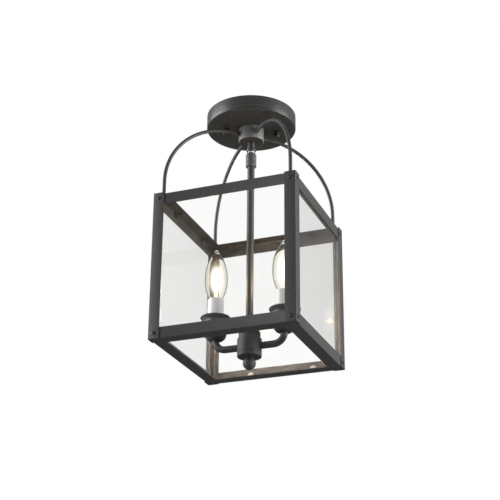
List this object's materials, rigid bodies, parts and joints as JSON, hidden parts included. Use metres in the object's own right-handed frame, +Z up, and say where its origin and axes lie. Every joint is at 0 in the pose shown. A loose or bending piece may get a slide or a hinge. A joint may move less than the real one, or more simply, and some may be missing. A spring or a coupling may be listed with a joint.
{
  "type": "porch ceiling lantern",
  "caption": "Semi-flush porch lantern: a square angle-bar cage with clear panes on arched rods under a round canopy, with a candle cluster on a stem inside.",
  "frame": {"origin": "centre of the canopy's rim, in the plane of the ceiling", "axes": "+Z points up, into the ceiling; the two lights stand along X, and the cage's faces are square to X and Y; -Y is the front"},
  "size_m": [0.2062, 0.2062, 0.3817],
  "materials": {
    "bronze_paint": "satin, very dark bronze powder coat",
    "bronze_dark": "satin, darker than the frame",
    "zinc_steel": "zinc-plated steel",
    "nickel": "bright threaded nickel",
    "brass": "plain brass",
    "clip_steel": "bright spring steel",
    "pane_glass": "clear flat glass",
    "bulb_glass": "clear blown glass",
    "sleeve_white": "white card sleeve",
    "socket_plastic": "moulded lamp holder",
    "filament_wire": "fine wire and glass mount, lit warm"
  },
  "bodies": {
    "root": {"box_strap": "zinc_steel", "canopy_strap": "zinc_steel", "canopy_screws": "zinc_steel", "canopy_nuts": "bronze_dark", "canopy": "bronze_paint", "nipple": "nickel", "nipple_nuts": "zinc_steel", "hub": "bronze_paint", "hub_bead": "bronze_paint", "arm_ferrules": "bronze_paint", "arm_nuts": "bronze_dark", "glass_clips": "clip_steel", "corner_screws": "bronze_dark", "arm_front_left": "bronze_paint", "arm_front_right": "bronze_paint", "arm_back_right": "bronze_paint", "arm_back_left": "bronze_paint", "post_front_left": "bronze_paint", "post_front_right": "bronze_paint", "post_back_right": "bronze_paint", "post_back_left": "bronze_paint", "top_rail_front": "bronze_paint", "top_rail_right": "bronze_paint", "top_rail_back": "bronze_paint", "top_rail_left": "bronze_paint", "bottom_rail_front": "bronze_paint", "bottom_rail_right": "bronze_paint", "bottom_rail_back": "bronze_paint", "bottom_rail_left": "bronze_paint", "glass_front": "pane_glass", "glass_right": "pane_glass", "glass_back": "pane_glass", "glass_left": "pane_glass"},
    "cluster": {"collar": "bronze_paint", "stem": "bronze_paint", "cluster_cap": "bronze_paint", "cluster_body": "bronze_paint", "cluster_base": "bronze_paint", "cluster_nipple": "zinc_steel", "finial": "bronze_paint", "light_arm_left": "bronze_paint", "candle_cup_left": "bronze_paint", "drip_dish_left": "bronze_paint", "socket_left": "socket_plastic", "socket_contacts_left": "brass", "sleeve_left": "sleeve_white", "light_arm_right": "bronze_paint", "candle_cup_right": "bronze_paint", "drip_dish_right": "bronze_paint", "socket_right": "socket_plastic", "socket_contacts_right": "brass", "sleeve_right": "sleeve_white"},
    "bulb_seat_left": {"bulb_contact_left": "zinc_steel"},
    "bulb_left": {"bulb_glass_left": "bulb_glass", "bulb_base_left": "brass", "filament_left": "filament_wire"},
    "bulb_seat_right": {"bulb_contact_right": "zinc_steel"},
    "bulb_right": {"bulb_glass_right": "bulb_glass", "bulb_base_right": "brass", "filament_right": "filament_wire"}
  },
  "joints": [
    {"name": "cluster_turn", "type": "hinge", "parent": "root", "child": "cluster", "pos_m": [0, 0, -0.0697], "axis": [0, 0, 1], "range_deg": [-170, 170]},
    {"name": "bulb_lift_left", "type": "slide", "parent": "cluster", "child": "bulb_seat_left", "axis": [0, 0, 1], "range_m": [0, 0.01144]},
    {"name": "bulb_turn_left", "type": "hinge", "parent": "bulb_seat_left", "child": "bulb_left", "pos_m": [-0.0495, 0, -0.247], "axis": [0, 0, 1], "range_deg": [0, 1620]},
    {"name": "bulb_lift_right", "type": "slide", "parent": "cluster", "child": "bulb_seat_right", "axis": [0, 0, 1], "range_m": [0, 0.01144]},
    {"name": "bulb_turn_right", "type": "hinge", "parent": "bulb_seat_right", "child": "bulb_right", "pos_m": [0.0495, 0, -0.247], "axis": [0, 0, 1], "range_deg": [0, 1620]}
  ],
  "couplings": [
    {"joint": "bulb_lift_left", "follows": "bulb_turn_left", "m_per_rad": 0.00040425},
    {"joint": "bulb_lift_right", "follows": "bulb_turn_right", "m_per_rad": 0.00040425}
  ]
}
